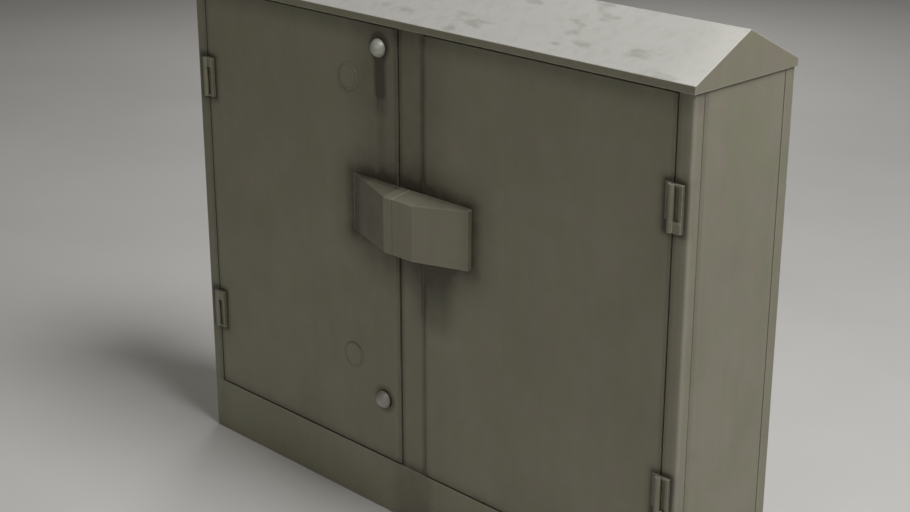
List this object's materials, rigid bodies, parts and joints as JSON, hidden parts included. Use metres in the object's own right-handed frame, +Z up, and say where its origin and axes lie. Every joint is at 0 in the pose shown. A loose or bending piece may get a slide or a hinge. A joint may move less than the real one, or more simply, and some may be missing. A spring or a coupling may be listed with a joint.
{
  "type": "roadside utility cabinet",
  "caption": "Steel street cabinet with a gabled roof, two doors on a centre post, domed locks, a padlock box and a terminal rack inside.",
  "frame": {"origin": "centre of the anchor bolt pattern, on the ground plane under the plinth", "axes": "+Z up, +X along the cabinet to the right as seen from the doors, -Y out of the doors"},
  "size_m": [1.205, 0.301, 1.011],
  "materials": {
    "body_paint": "weathered satin paint, warm stone grey",
    "plinth_paint": "weathered satin paint, darker with splash dirt",
    "roof_paint": "weathered chalky paint, pale grey",
    "inner_paint": "clean satin paint",
    "hinge_paint": "painted steel, worn at the edges",
    "zinc": "dull zinc plate",
    "lock_steel": "weathered plated steel",
    "galvanised": "spangled galvanised sheet",
    "terminal_plastic": "moulded, cream",
    "insulator_plastic": "moulded, black",
    "copper": "bare copper, dulled",
    "gasket_rubber": "cellular rubber"
  },
  "bodies": {
    "cabinet": {"plinth": "plinth_paint", "floor_tray": "galvanised", "front_left_post": "body_paint", "front_right_post": "body_paint", "rear_left_post": "body_paint", "rear_right_post": "body_paint", "left_side_panel": "body_paint", "right_side_panel": "body_paint", "rear_panel": "body_paint", "head_rail": "body_paint", "rear_rail": "body_paint", "centre_post": "body_paint", "centre_post_bolts": "zinc", "roof_cap": "roof_paint", "roof_hangers": "galvanised", "roof_bolts": "zinc", "upper_rack_rail": "galvanised", "lower_rack_rail": "galvanised", "terminal_block_1": "terminal_plastic", "terminal_block_2": "terminal_plastic", "terminal_block_3": "terminal_plastic", "terminal_block_4": "terminal_plastic", "terminal_block_5": "terminal_plastic", "terminal_block_6": "terminal_plastic", "jumper_rings": "zinc", "earth_bar": "copper", "earth_bar_insulators": "insulator_plastic", "cable_sleeves": "galvanised", "left_upper_hinge_barrel": "hinge_paint", "left_lower_hinge_barrel": "hinge_paint", "right_upper_hinge_leaf": "hinge_paint", "right_lower_hinge_leaf": "hinge_paint", "hinge_pins": "zinc"},
    "left_door": {"left_door": "body_paint", "left_door_stiffener": "inner_paint", "left_door_gasket": "gasket_rubber", "upper_blanking_plug": "body_paint", "lower_blanking_plug": "body_paint", "lock_box_left": "body_paint", "left_padlock_lug": "zinc", "left_upper_hinge_leaf": "hinge_paint", "left_lower_hinge_leaf": "hinge_paint", "upper_lock_body": "zinc", "lower_lock_body": "zinc", "lock_nuts": "zinc"},
    "right_door": {"right_door": "body_paint", "right_door_stiffener": "inner_paint", "right_door_gasket": "gasket_rubber", "lock_box_right": "body_paint", "right_padlock_lug": "zinc", "document_pocket": "galvanised", "right_upper_hinge_barrel": "hinge_paint", "right_lower_hinge_barrel": "hinge_paint"},
    "upper_lock": {"upper_lock_dome": "lock_steel", "upper_lock_cam": "galvanised"},
    "lower_lock": {"lower_lock_dome": "lock_steel", "lower_lock_cam": "galvanised"}
  },
  "joints": [
    {"name": "left_door_swing", "type": "hinge", "parent": "cabinet", "child": "left_door", "pos_m": [-0.5705, -0.132, 0.515], "axis": [0, 0, -1], "range_deg": [0, 110]},
    {"name": "right_door_swing", "type": "hinge", "parent": "cabinet", "child": "right_door", "pos_m": [0.5705, -0.132, 0.515], "axis": [0, 0, 1], "range_deg": [0, 110]},
    {"name": "upper_lock_turn", "type": "hinge", "parent": "left_door", "child": "upper_lock", "pos_m": [-0.075, -0.126, 0.893], "axis": [0, -1, 0], "range_deg": [0, 90]},
    {"name": "lower_lock_turn", "type": "hinge", "parent": "left_door", "child": "lower_lock", "pos_m": [-0.075, -0.126, 0.23], "axis": [0, 1, 0], "range_deg": [0, 90]}
  ]
}
